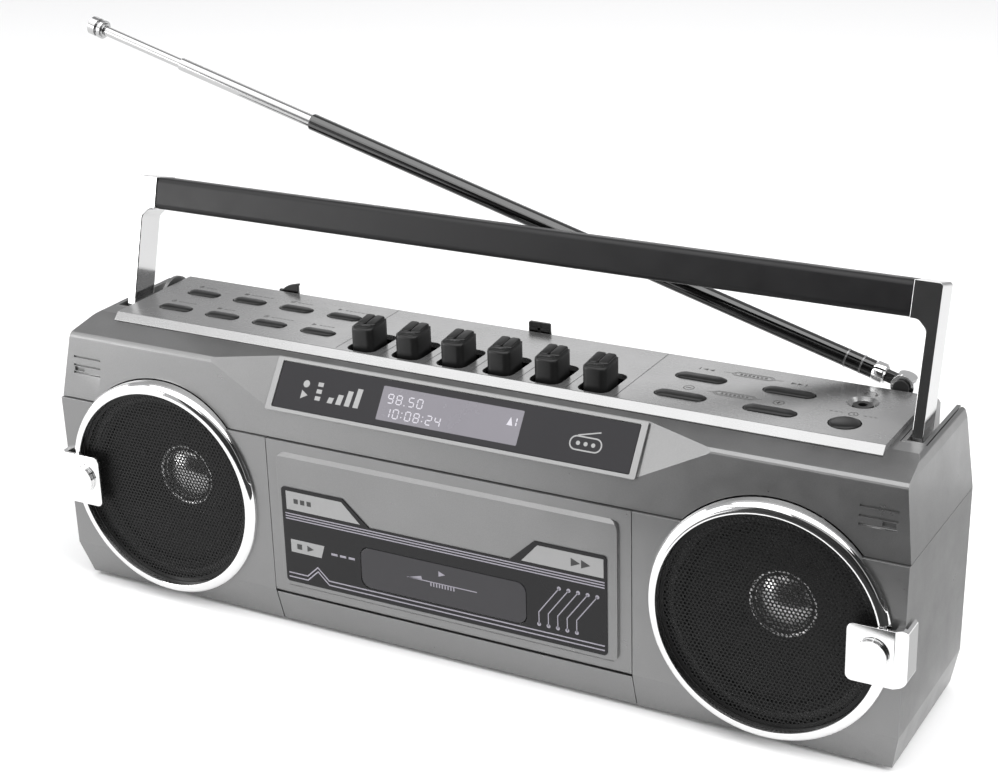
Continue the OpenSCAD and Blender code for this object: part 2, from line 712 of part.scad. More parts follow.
module spindle(x) color("white") place() {
    rod_y(x, hub_z, 3, 9.6, deck_y - 0.6);
    rod_y(x, hub_z, 11, 22, 24);
    rod_y(x, hub_z, 1.5, 20, deck_y + 3);
    for (a = [0, 120, 240]) translate([x, 0, hub_z]) rotate([0, a, 0])
        block([-0.5, 10.5, 0], [0.5, 16, 4.4]);
}

module supply_spindle() spindle(-hub_x);
module takeup_spindle() spindle(hub_x);

head_z = 84.4;

module head_bridge() color("silver") place() {
    block([-34, 23, 84], [34, 24.4, 91.5]);
    block([-6.5, 8.5, head_z], [6.5, 23.1, head_z + 6]);
    block([-24, 9.5, head_z + 0.4], [-17, 23.1, head_z + 5.4]);
    rod_y(capstan[0] + 13, 86.6, 1.2, 8.5, 23.1);
}

module pinch_roller() color("black") place() difference() {
    rod_y(capstan[0] + 13, 86.6, 4.4, 9, 16);
    rod_y(capstan[0] + 13, 86.6, 1.2 + run, 5, 20);
}

module board_switch(x, y)
    translate([x, y, board_z + 1.3]) cylinder(h = 2.4, r = 2);

module circuit_boards() color("darkgreen") place() {
    block([-116, 64, 44], [116, 65.6, 84]);
    for (x = [-96, -60, -24, 30, 66, 98])
        block([x - 7, 60.5, 52], [x + 7, 64.1, 66]);
    for (x = [-106, -78, -42, 8, 48, 84]) rod_y(x, 75, 3.6, 56, 64.1);
    block([-162, 30.5, board_z], [-68, 62, board_z + 1.4]);
    block([74, 30.5, board_z], [144, 62, board_z + 1.4]);
    block([143, 30.5, board_z], [162, 46, board_z + 1.4]);
    for (row = row_left, i = [0:3]) board_switch(small_x(i), row);
    for (row = row_right, i = [0, 1]) board_switch(tune_x[i], row);
    board_switch(alarm_at[0], alarm_at[1]);
}

door_pin_z = tray[1] + 0.2;

module battery_door() color("dimgray") place() difference() {
    union() {
        block([-tray[0] - 1.2, 72.75, door_pin_z], [tray[0] + 1.2, 74.75, tray[2] + 1.2]);
        rod_x(73.75, door_pin_z, 1, -tray[0] - 1.2, tray[0] + 1.2);
        block([-8, 71.2, tray[2] - 2.4], [8, 72.9, tray[2] - 0.6]);
    }
    block([-9, 73.9, tray[2] - 5], [9, 76, tray[2] - 3.6]);
}

module power_inlet() color("black") place() difference() {
    block([-103, 60, 27], [-85, 74.8, 41]);
    rod_y(-94, 34, 2.8, 65.3, 80);
}

lower_cabinet();
centre_strip();
upper_cabinet();
rear_cover();
control_plate();
display_bezel();
display_glass();
lcd_module();
speaker_rings();
ring_clips();
speaker_grilles();
speaker_frames();
speaker_cones();
cassette_door();
door_label();
door_window();
cassette_holder();
record_key();
play_key();
rewind_key();
forward_key();
stop_key();
pause_key();
deck_chassis();
power_button();
mode_button();
menu_button();
select_button();
scan_button();
preset_button();
folder_button();
info_button();
tune_down_button();
tune_up_button();
volume_down_button();
volume_up_button();
alarm_button();
headphone_jack();
left_handle_arm();
right_handle_arm();
handle_grip();
handle_channels();
antenna_turret();
antenna_outer_tube();
antenna_middle_tube();
antenna_inner_tube();
antenna_clips();
motor();
motor_pulley();
flywheel();
drive_belt();
supply_spindle();
takeup_spindle();
head_bridge();
pinch_roller();
circuit_boards();
battery_door();
power_inlet();
feet();
case_screws();
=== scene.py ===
"""The looks of the radio cassette recorder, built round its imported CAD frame."""

import json
import math

import bmesh
import bpy
from mathutils import Matrix, Vector


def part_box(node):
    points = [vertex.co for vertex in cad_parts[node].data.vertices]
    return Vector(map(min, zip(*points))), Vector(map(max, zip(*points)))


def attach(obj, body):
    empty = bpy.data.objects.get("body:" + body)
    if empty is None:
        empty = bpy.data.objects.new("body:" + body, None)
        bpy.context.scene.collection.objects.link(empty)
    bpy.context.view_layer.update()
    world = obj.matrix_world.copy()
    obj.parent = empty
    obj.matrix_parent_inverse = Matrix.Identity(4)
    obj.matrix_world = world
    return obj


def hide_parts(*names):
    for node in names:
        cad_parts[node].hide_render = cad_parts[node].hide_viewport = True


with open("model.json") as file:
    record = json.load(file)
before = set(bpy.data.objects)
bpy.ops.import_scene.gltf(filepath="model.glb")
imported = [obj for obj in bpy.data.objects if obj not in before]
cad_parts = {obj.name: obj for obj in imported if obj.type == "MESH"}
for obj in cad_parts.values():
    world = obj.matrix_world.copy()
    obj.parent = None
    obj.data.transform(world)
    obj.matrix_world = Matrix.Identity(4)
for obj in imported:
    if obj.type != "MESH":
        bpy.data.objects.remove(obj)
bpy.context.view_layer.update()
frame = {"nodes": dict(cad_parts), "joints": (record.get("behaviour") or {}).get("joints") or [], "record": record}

MM = 0.001
CASE_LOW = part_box("lower_cabinet")[0]


def point(x, y, z):
    """A point of the cabinet: mm from its middle, from its front plane and from its underside."""
    return Vector((x * MM, CASE_LOW.y + y * MM, CASE_LOW.z + z * MM))


def in_case(at):
    """A point of the frame in the cabinet's own millimetres."""
    return at.x / MM, (at.y - CASE_LOW.y) / MM, (at.z - CASE_LOW.z) / MM


def case(node):
    """A CAD node's lowest and highest corner in the cabinet's own millimetres."""
    return [in_case(corner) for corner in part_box(node)]


# ---- materials ----
def add(tree, kind, inputs=None, **settings):
    """A shader node; each input is a value, or a socket that is linked to it."""
    made = tree.nodes.new("ShaderNode" + kind)
    for key, value in settings.items():
        setattr(made, key, value)
    for key, value in (inputs or {}).items():
        if isinstance(value, bpy.types.NodeSocket):
            tree.links.new(value, made.inputs[key])
        else:
            made.inputs[key].default_value = value
    return made


def shade(colour, factor):
    return tuple(min(1.0, c * factor) for c in colour[:3]) + (1.0,)


def finish(name, colour, rough, metal=0.0, coat=0.0, grain=0.0, grain_size=0.3, vary=0.06,
           smudge=0.06, wear=0.0, wear_colour=None, wear_width=0.35, brushed=None, glow=0.0,
           flake=0.0, specular=0.5):
    """A moulded, painted or plated surface: cloudy colour, smudged gloss, grain and rubbed edges."""
    mat = bpy.data.materials.new(name)
    mat.use_nodes = True
    tree = mat.node_tree
    shader = tree.nodes["Principled BSDF"]
    where = add(tree, "TexCoord").outputs["Object"]
    cloud = add(tree, "TexNoise", {"Vector": where, "Scale": 28.0, "Detail": 3.0}).outputs["Fac"]
    tone = add(tree, "MixRGB", {"Fac": cloud, "Color1": shade(colour, 1 - vary),
                                "Color2": shade(colour, 1 + vary)}).outputs["Color"]
    speck = add(tree, "TexNoise", {"Vector": where, "Scale": 1000.0 / grain_size,
                                   "Detail": 2.0, "Roughness": 0.6}).outputs["Fac"]
    if flake:
        spread = add(tree, "MapRange", {"Value": speck, "From Min": 0.35, "From Max": 0.65,
                                        "To Min": 1 - flake, "To Max": 1 + flake})
        tone = add(tree, "VectorMath", {0: tone, 1: spread.outputs["Result"]},
                   operation="MULTIPLY").outputs["Vector"]
    film = add(tree, "TexNoise", {"Vector": where, "Scale": 70.0, "Detail": 5.0,
                                  "Roughness": 0.65}).outputs["Fac"]
    gloss = add(tree, "MapRange", {"Value": film, "From Min": 0.3, "From Max": 0.7,
                                   "To Min": max(0.02, rough - smudge),
                                   "To Max": rough + smudge}).outputs["Result"]
    height = speck
    if brushed:
        drawn = add(tree, "Mapping", {"Vector": where, "Scale": brushed})
        height = add(tree, "TexNoise", {"Vector": drawn.outputs["Vector"], "Scale": 1.0,
                                        "Detail": 4.0, "Roughness": 0.7}).outputs["Fac"]
        gloss = add(tree, "Math", {0: gloss, 1: add(tree, "MapRange", {
            "Value": height, "To Min": -0.05, "To Max": 0.05}).outputs["Result"]},
            operation="ADD").outputs["Value"]
    if wear:
        soft = add(tree, "Bevel", {"Radius": wear_width * MM}, samples=4)
        flat = add(tree, "NewGeometry").outputs["Normal"]
        level = add(tree, "VectorMath", {0: soft.outputs["Normal"], 1: flat},
                    operation="DOT_PRODUCT").outputs["Value"]
        edge = add(tree, "MapRange", {"Value": level, "From Min": 0.995, "From Max": 0.9,
                                      "To Min": 0.0, "To Max": 1.0}).outputs["Result"]
        patchy = add(tree, "MapRange", {"Value": film, "From Min": 0.42, "From Max": 0.62,
                                        "To Min": 0.0, "To Max": wear}).outputs["Result"]
        rubbed = add(tree, "Math", {0: edge, 1: patchy}, operation="MULTIPLY").outputs["Value"]
        tone = add(tree, "MixRGB", {"Fac": rubbed, "Color1": tone,
                                    "Color2": wear_colour or shade(colour, 1.8)}).outputs["Color"]
    tree.links.new(tone, shader.inputs["Base Color"])
    tree.links.new(gloss, shader.inputs["Roughness"])
    shader.inputs["Metallic"].default_value = metal
    shader.inputs["Coat Weight"].default_value = coat
    shader.inputs["Coat Roughness"].default_value = 0.06
    shader.inputs["Specular IOR Level"].default_value = specular
    if grain:
        bump = add(tree, "Bump", {"Strength": grain, "Distance": 0.05 * MM, "Height": height})
        tree.links.new(bump.outputs["Normal"], shader.inputs["Normal"])
    if glow:
        tree.links.new(tone, shader.inputs["Emission Color"])
        shader.inputs["Emission Strength"].default_value = glow
    return mat


def grey(value, tint=(1.0, 1.0, 1.0)):
    return tuple(value * t for t in tint) + (1.0,)


WARM = (1.0, 0.99, 0.965)
LILAC = (1.0, 0.97, 1.06)
MATERIALS = {
    "body": finish("grey_paint", grey(0.205), 0.32, metal=0.82, coat=0.05, grain=0.10,
                   grain_size=0.25, flake=0.07, wear=0.5, wear_colour=grey(0.40), smudge=0.05),
    "plate": finish("brushed_silver", grey(0.32), 0.26, metal=0.8, grain=0.05,
                    brushed=(60.0, 5200.0, 5200.0), wear=0.4, wear_colour=grey(0.7),
                    wear_width=0.25, smudge=0.03),
    "bezel": finish("frame_paint", grey(0.25), 0.32, metal=0.8, coat=0.1, grain=0.08,
                    grain_size=0.25, wear=0.4, wear_colour=grey(0.5)),
    "glass": finish("display_glass", grey(0.022, LILAC), 0.12, smudge=0.03,
                    grain=0.02, grain_size=8.0, specular=0.13),
    "lit": finish("display_lit", grey(0.125, (1.0, 0.95, 1.08)), 0.25, coat=0.1, vary=0.12,
                  glow=0.2, grain=0.05, grain_size=0.4),
    "digits": finish("display_digits", grey(0.36, LILAC), 0.3, glow=0.3, vary=0.1, grain=0.05),
    # painted reflection: the outer antenna tube is ordinary chrome made darker to stand in for the dark
    # surroundings it reflects
    "tube": finish("chrome_painted_dark_reflection", grey(0.09), 0.12, metal=1.0, smudge=0.03, vary=0.05,
                   grain=0.02, grain_size=6.0, wear=0.25, wear_colour=grey(0.5)),
    "rod": finish("antenna_chrome", grey(0.42), 0.10, metal=1.0, smudge=0.03, vary=0.05,
                  grain=0.02, grain_size=6.0, wear=0.25, wear_colour=grey(0.6)),
    "arm": finish("arm_chrome", grey(0.56), 0.12, metal=1.0, smudge=0.03, vary=0.03,
                  grain=0.02, grain_size=6.0, wear=0.25, wear_colour=grey(0.4)),
    "chrome": finish("chrome", grey(0.76), 0.06, metal=1.0, smudge=0.025, vary=0.02,
                     grain=0.02, grain_size=6.0, wear=0.25, wear_colour=grey(0.55)),
    "grille": finish("grille_black", grey(0.008), 0.42, metal=0.2, grain=0.1, wear=0.5,
                     wear_colour=grey(0.04), wear_width=0.15, specular=0.25),
    "speaker": finish("speaker_steel", grey(0.10), 0.45, metal=0.8, grain=0.2, wear=0.3,
                      wear_colour=grey(0.3)),
    "cone": finish("paper_cone", grey(0.030), 0.8, grain=0.6, grain_size=0.7, vary=0.2),
    "cap": finish("dust_cap", grey(0.75), 0.18, metal=0.9, grain=0.05, vary=0.05),
    "label": finish("label_black", grey(0.008, LILAC), 0.2, specular=0.25, smudge=0.05,
                    grain=0.03, grain_size=2.0),
    "window": finish("smoked_window", grey(0.030, LILAC), 0.14, specular=0.3, smudge=0.04,
                     grain=0.02, grain_size=4.0),
    "ink_silver": finish("ink_silver", grey(0.27), 0.35, metal=0.3, grain=0.05, vary=0.04),
    "ink_lilac": finish("ink_lilac", grey(0.24, (1.0, 0.95, 1.1)), 0.4, vary=0.08, grain=0.04),
    "ink_dark": finish("ink_dark", grey(0.022), 0.45, vary=0.1, grain=0.05),
    "ink_grey": finish("ink_grey", grey(0.045, WARM), 0.4, vary=0.1, grain=0.05),
    "dark": finish("dark_plastic", grey(0.040), 0.5, grain=0.5, grain_size=0.6, wear=0.5,
                   wear_colour=grey(0.14)),
    "black": finish("black_plastic", grey(0.010), 0.36, grain=0.25, grain_size=0.5, wear=0.5,
                    wear_colour=grey(0.07)),
    "key": finish("key_black", grey(0.006), 0.36, grain=0.22, grain_size=0.35, wear=0.8,
                  wear_colour=grey(0.07), wear_width=0.5, specular=0.3),
    "button": finish("button_black", grey(0.006), 0.34, grain=0.2, grain_size=0.4, wear=0.5,
                     wear_colour=grey(0.07), specular=0.3),
    "grip": finish("grip_black", grey(0.006, LILAC), 0.38, grain=0.35, grain_size=0.5,
                   wear=0.6, wear_colour=grey(0.06), wear_width=0.6, specular=0.3),
    "steel": finish("steel", grey(0.52), 0.32, metal=1.0, grain=0.15,
                    brushed=(900.0, 900.0, 3000.0), wear=0.3, wear_colour=grey(0.75)),
    "brass": finish("brass", (0.62, 0.46, 0.20, 1), 0.28, metal=1.0, grain=0.1, wear=0.3,
                    wear_colour=(0.8, 0.68, 0.4, 1)),
    "rubber": finish("rubber", grey(0.020), 0.7, grain=0.6, grain_size=0.5, vary=0.15,
                     wear=0.4, wear_colour=grey(0.06)),
    "white": finish("white_plastic", grey(0.70, WARM), 0.4, grain=0.15, wear=0.3,
                    wear_colour=grey(0.8)),
    "board": finish("circuit_board", (0.03, 0.13, 0.06, 1), 0.4, coat=0.3, grain=0.3,
                    grain_size=1.2, vary=0.25),
}


# ---- building ----
def body_of(node):
    return next(b for b, members in frame["record"]["behaviour"]["bodies"].items()
                if node in members)


def shaped(obj, bevel=0.0, segments=3, angle=28.0, crisp=None):
    """Rounds the edges for real, applies that, and shades smoothly up to the sharp edges.
    crisp(point in case mm) says where the edges stay as they are."""
    if crisp:
        bm = bmesh.new()
        bm.from_mesh(obj.data)
        layer = bm.edges.layers.float.new("bevel_weight_edge")
        for edge in bm.edges:
            middle = (edge.verts[0].co + edge.verts[1].co) / 2
            keep = crisp(*in_case(middle))
            bent = len(edge.link_faces) == 2 and edge.calc_face_angle(0) > math.radians(angle)
            edge[layer] = 1.0 if bent and not keep else 0.0
        bm.to_mesh(obj.data)
        bm.free()
    if bevel:
        mod = obj.modifiers.new("edges", "BEVEL")
        mod.width = bevel * MM
        mod.segments = segments
        mod.limit_method = "WEIGHT" if crisp else "ANGLE"
        mod.angle_limit = math.radians(angle)
        mod.miter_outer = "MITER_ARC"
        mod.use_clamp_overlap = True
        obj.modifiers.new("normals", "WEIGHTED_NORMAL").keep_sharp = True
    me = obj.data
    me.polygons.foreach_set("use_smooth", [True] * len(me.polygons))
    me.set_sharp_from_angle(angle=math.radians(38))
    if bevel:
        bpy.context.view_layer.update()
        seen = obj.evaluated_get(bpy.context.evaluated_depsgraph_get())
        obj.data = bpy.data.meshes.new_from_object(seen)
        obj.modifiers.clear()
    return obj


def piece(name, verts, faces, material, body, slot, bevel=0.0, segments=3):
    """One mesh piece with its finish, which rides on a body."""
    me = bpy.data.meshes.new(name)
    me.from_pydata([tuple(v) for v in verts], [], faces)
    bm = bmesh.new()
    bm.from_mesh(me)
    bmesh.ops.remove_doubles(bm, verts=bm.verts, dist=1e-7)
    bmesh.ops.recalc_face_normals(bm, faces=bm.faces)
    bm.to_mesh(me)
    bm.free()
    me.materials.append(MATERIALS[material])
    obj = bpy.data.objects.new(name, me)
    bpy.context.scene.collection.objects.link(obj)
    shaped(obj, bevel, segments)
    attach(obj, body)
    return obj


def dress(node, material, bevel=0.3, segments=3, angle=28.0, crisp=None, merge=True):
    """A CAD node's own shape with rounded edges and a finish; it stands for the node."""
    me = frame["nodes"][node].data.copy()
    me.materials.clear()
    me.materials.append(MATERIALS[material])
    bm = bmesh.new()
    bm.from_mesh(me)
    bmesh.ops.remove_doubles(bm, verts=bm.verts, dist=2e-6)
    if merge:
        bmesh.ops.dissolve_limit(bm, angle_limit=math.radians(0.3), verts=bm.verts,
                                 edges=bm.edges)
    bmesh.ops.recalc_face_normals(bm, faces=bm.faces)
    bm.to_mesh(me)
    bm.free()
    obj = bpy.data.objects.new(node + "_skin", me)
    bpy.context.scene.collection.objects.link(obj)
    shaped(obj, bevel, segments, angle, crisp)
    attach(obj, body_of(node))
    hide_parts(node)
    return obj


class Shapes:
    """Flat shapes, raised a little from one plane and gathered into one mesh. place(u, v, w)
    gives the point at u, v in the plane and w above it, all in mm."""

    def __init__(self, place, height=0.04, sunk=0.02):
        self.place, self.levels = place, (-sunk, height)
        self.verts, self.faces = [], []

    def strip(self, outer, inner):
        """A closed band between two outlines with the same number of points."""
        base, n = len(self.verts), len(outer)
        for w in self.levels:
            for ring in (outer, inner):
                self.verts += [self.place(u, v, w) for u, v in ring]
        for i in range(n):
            j = (i + 1) % n
            for a, b in ((0, 1), (1, 3), (3, 2), (2, 0)):
                self.faces.append([base + a * n + i, base + a * n + j,
                                   base + b * n + j, base + b * n + i])

    def fill(self, outline):
        base, n = len(self.verts), len(outline)
        for w in self.levels:
            self.verts += [self.place(u, v, w) for u, v in outline]
        self.faces.append([base + i for i in range(n)])
        self.faces.append([base + n + i for i in range(n)])
        for i in range(n):
            j = (i + 1) % n
            self.faces.append([base + i, base + j, base + n + j, base + n + i])

    def box(self, u0, v0, u1, v1):
        self.fill([(u0, v0), (u1, v0), (u1, v1), (u0, v1)])

    def disc(self, u, v, r, steps=24):
        self.fill(circle(u, v, r, steps))

    def ring(self, u, v, r, width, steps=32):
        self.strip(circle(u, v, r, steps), circle(u, v, r - width, steps))

    def line(self, points, width, closed=False):
        """A line of constant width with mitred corners."""
        pts = [Vector(p) for p in points]
        n = len(pts)
        left, right = [], []
        for i, p in enumerate(pts):
            before = pts[i - 1] if closed or i else None
            after = pts[(i + 1) % n] if closed or i < n - 1 else None
            d0 = (p - before).normalized() if before is not None else None
            d1 = (after - p).normalized() if after is not None else None
            d0, d1 = d0 or d1, d1 or d0
            across = Vector((-d0.y - d1.y, d0.x + d1.x)).normalized()
            reach = width / 2 / max(0.35, across.dot(Vector((-d1.y, d1.x))))
            left.append(tuple(p + across * reach))
            right.append(tuple(p - across * reach))
        if closed:
            self.strip(left, right)
        else:
            self.fill(left + right[::-1])

    def make(self, name, material, body, slot):
        return piece(name, self.verts, self.faces, material, body, slot)


def circle(u, v, r, steps=24, start=0.0, turn=360.0):
    last = steps if turn == 360.0 else steps + 1
    return [(u + r * math.cos(math.radians(start + turn * i / steps)),
             v + r * math.sin(math.radians(start + turn * i / steps))) for i in range(last)]


def rounded(u0, v0, u1, v1, r, steps=5):
    corners = ((u1 - r, v0 + r, -90), (u1 - r, v1 - r, 0), (u0 + r, v1 - r, 90),
               (u0 + r, v0 + r, 180))
    return [p for u, v, a in corners for p in circle(u, v, r, steps, a, 90.0)]


def stadium(u, v, w, d, steps=10):
    reach = (w - d) / 2
    return (circle(u + reach, v, d / 2, steps, -90, 180.0)
            + circle(u - reach, v, d / 2, steps, 90, 180.0))


def loft(place, rings, closed_ends=True):
    """Verts and faces through outlines [(outline, w), ...] that have one length."""
    n = len(rings[0][0])
    verts = [place(u, v, w) for outline, w in rings for u, v in outline]
    faces = [[k * n + i, k * n + (i + 1) % n, (k + 1) * n + (i + 1) % n, (k + 1) * n + i]
             for k in range(len(rings) - 1) for i in range(n)]
    if closed_ends:
        faces += [list(range(n)), list(range((len(rings) - 1) * n, len(rings) * n))]
    return verts, faces


def join(*parts):
    verts, faces = [], []
    for v, f in parts:
        faces += [[i + len(verts) for i in face] for face in f]
        verts += v
    return verts, faces


# ---- planes to build on ----
PLATE_LOW, PLATE_HIGH = case("control_plate")
PLATE_Z = PLATE_HIGH[2]
LABEL_Y = case("door_label")[0][1]
WINDOW_Y = case("door_window")[0][1]
GLASS_RISE = 0.61
# the glass lies along the slope from DISPLAY_FOOT up to DISPLAY_HEAD
DISPLAY_FOOT = Vector((0, 2.3, 96.3))
DISPLAY_HEAD = Vector((0, 15.6, 115.3))
DISPLAY_UP = (DISPLAY_HEAD - DISPLAY_FOOT).normalized()
DISPLAY_OUT = Vector((1, 0, 0)).cross(DISPLAY_UP)


def on_plate(u, v, w):
    return point(u, v, PLATE_Z + w)


def on_label(u, v, w):
    return point(u, LABEL_Y - w, v)


def on_window(u, v, w):
    return point(u, WINDOW_Y - w, v)


def on_glass(u, v, w):
    at = DISPLAY_FOOT + DISPLAY_UP * v + DISPLAY_OUT * (w + GLASS_RISE)
    return point(u, at.y, at.z)


# ---- cabinet, panels and mechanism: the CAD shapes with rounded edges ----
for node, material, bevel in (
        ("lower_cabinet", "body", 0.45), ("centre_strip", "body", 0.3),
        ("cassette_door", "body", 0.35),
        ("rear_cover", "dark", 0.35), ("control_plate", "plate", 0.25),
        ("display_bezel", "bezel", 0.2), ("display_glass", "glass", 0.1),
        ("lcd_module", "dark", 0.2),
        ("ring_clips", "chrome", 0.7), ("speaker_frames", "speaker", 0.3),
        ("speaker_cones", "cone", 0.2), ("door_label", "label", 0.08),
        ("door_window", "window", 0.15), ("cassette_holder", "dark", 0.3),
        ("deck_chassis", "steel", 0.2), ("headphone_jack", "black", 0.3),
        ("left_handle_arm", "arm", 0.4), ("right_handle_arm", "arm", 0.4),
        ("handle_grip", "grip", 0.5), ("handle_channels", "body", 0.35),
        ("antenna_turret", "chrome", 1.0), ("antenna_outer_tube", "tube", 0.35),
        ("antenna_middle_tube", "rod", 0.25), ("antenna_inner_tube", "rod", 0.15),
        ("motor", "steel", 0.4), ("motor_pulley", "brass", 0.15), ("flywheel", "steel", 0.3),
        ("drive_belt", "rubber", 0.2), ("supply_spindle", "white", 0.2),
        ("takeup_spindle", "white", 0.2), ("head_bridge", "steel", 0.2),
        ("pinch_roller", "rubber", 0.3), ("circuit_boards", "board", 0.2),
        ("battery_door", "dark", 0.3), ("power_inlet", "black", 0.3),
        ("feet", "rubber", 0.4), ("case_screws", "steel", 0.2)):
    dress(node, material, bevel)


def near_marks(x, y, z):
    """The grooves and the recess beside each speaker, whose edges stay as they are."""
    return abs(x) > 145 and 60 < z < 96 and y < 10 and abs(x) < 186


dress("upper_cabinet", "body", 0.5, angle=9.0, crisp=near_marks, merge=False)

# ---- speaker grilles: punched sheet with hexagonal holes ----
RING_LOW, RING_HIGH = case("speaker_rings")
SPEAKER_R = (RING_HIGH[2] - RING_LOW[2]) / 2
SPEAKER_X = RING_HIGH[0] - SPEAKER_R
SPEAKER_Z = (RING_HIGH[2] + RING_LOW[2]) / 2
GRILLE_LOW, GRILLE_HIGH = case("speaker_grilles")
GRILLE_R = GRILLE_HIGH[0] - SPEAKER_X
PITCH = 1.65
HOLE = 0.66
SHEET = 0.3
RIM = 1.7


def punched_sheet(x):
    def place(u, v, w):
        return point(x + u, GRILLE_LOW[1] + w, SPEAKER_Z + v)
    verts, faces = [], []
    rows = int(GRILLE_R / (PITCH * math.sqrt(0.75))) + 1
    for row in range(-rows, rows + 1):
        for col in range(-rows - 2, rows + 3):
            u = (col + 0.5 * (row % 2)) * PITCH
            v = row * PITCH * math.sqrt(0.75)
            if math.hypot(u, v) > GRILLE_R - 1.2:
                continue
            # a cell's outline and hole in front, then both at the back, six points each
            base = len(verts)
            for w in (0, SHEET):
                for r in (PITCH / math.sqrt(3), HOLE):
                    verts += [place(a, b, w) for a, b in circle(u, v, r, 6, 30.0)]
            for i in range(6):
                j = (i + 1) % 6
                for a, b in ((0, 6), (6, 18), (18, 12)):
                    faces.append([base + a + i, base + a + j, base + b + j, base + b + i])
    profile = ((GRILLE_R - RIM, -0.05), (GRILLE_R, -0.05), (GRILLE_R, 1.0),
               (GRILLE_R - RIM, 1.0))
    rim = [(circle(0, 0, r, 96), w) for r, w in profile]
    rim_verts, rim_faces = loft(place, rim + rim[:1], closed_ends=False)
    return join((verts, faces), (rim_verts, rim_faces))


grille = piece("speaker_grilles_punched",
               *join(punched_sheet(-SPEAKER_X), punched_sheet(SPEAKER_X)),
               "grille", "cabinet", "grille")
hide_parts("speaker_grilles")


def revolve(x, y, z, profile, steps=48, ring=False):
    """A solid of revolution about the Y axis: profile is (radius, distance in front of y).
    A ring's profile runs back to its start and leaves the middle open."""
    def place(u, v, w):
        return point(x + u, y - w, z + v)
    profile = profile + profile[:1] * ring
    return loft(place, [(circle(0, 0, max(r, 0.01), steps), h) for r, h in profile],
                closed_ends=not ring)


RING_IN = GRILLE_R + 0.1
RING_RISE = -RING_LOW[1]
LIP = 0.7
quarter_round = [(RING_IN + LIP + (SPEAKER_R - RING_IN - LIP) * math.sin(a),
                  RING_RISE * math.cos(a)) for a in (math.pi / 2 * k / 14 for k in range(14))]
section = ([(RING_IN, 0.0), (RING_IN, RING_RISE * 0.7), (RING_IN + LIP * 0.4, RING_RISE * 0.95)]
           + quarter_round
           + [(SPEAKER_R, 0.1), (SPEAKER_R, -5.4), (SPEAKER_R - 0.5, -5.4),
              (SPEAKER_R - 0.5, 0.0)])
rings = piece("speaker_rings_chrome",
              *join(*[revolve(side * SPEAKER_X, 0, SPEAKER_Z, section, 128, ring=True)
                      for side in (-1, 1)]), "chrome", "cabinet", "chrome")
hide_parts("speaker_rings")


def dome(r, height, steps=8):
    return [(r * math.cos(a), height * math.sin(a))
            for a in (math.pi / 2 * i / steps for i in range(steps + 1))]


CONE_LOW, CONE_HIGH = case("speaker_cones")
CAP_R = 13.4
CAP_Y = 16.5
CAP_SLOPE = 40
for side, name in ((-1, "left"), (1, "right")):
    x = side * SPEAKER_X
    rim = [(CAP_R + 1.1 * math.cos(a), 1.1 * math.sin(a))
           for a in (math.pi * i / 8 for i in range(8))]
    edge = math.radians(CAP_SLOPE)
    dome_r = (CAP_R - 1.1) / math.sin(edge)
    bulge = [(dome_r * math.sin(a), dome_r * (math.cos(a) - math.cos(edge)) - 0.2)
             for a in (math.radians(CAP_SLOPE - 5 * k) for k in range(9))]
    piece(name + "_dust_cap",
          *revolve(x, CAP_Y, SPEAKER_Z, [(CAP_R + 1.1, CAP_Y - CONE_HIGH[1] + 1)] + rim + bulge),
          "cap", "cabinet", "cone")
    surround = [(37.4 + 2.4 * math.cos(a), 0.4 + 1.6 * math.sin(a))
                for a in (math.pi * i / 10 for i in range(11))]
    piece(name + "_cone_surround",
          *revolve(x, CONE_LOW[1] + 0.2, SPEAKER_Z, surround + [(35, -0.3), (39.8, -0.3)],
                   ring=True), "rubber", "cabinet", "cone")

# domed studs on the ring clips
STUD_R = 6.3
STUD_X = 179
STUD_Z = 49.9
CLIP_Y = case("ring_clips")[0][1]
for side, name in ((-1, "left"), (1, "right")):
    piece(name + "_clip_stud",
          *revolve(side * STUD_X, CLIP_Y + 1.7, STUD_Z,
                   [(STUD_R - 0.4, -0.4), (STUD_R + 0.35, 0.0), (STUD_R + 0.35, 0.5)]
                   + [(r, 0.5 + h) for r, h in dome(STUD_R - 0.1, 1.1)]),
          "chrome", "cabinet", "chrome", bevel=0.15)

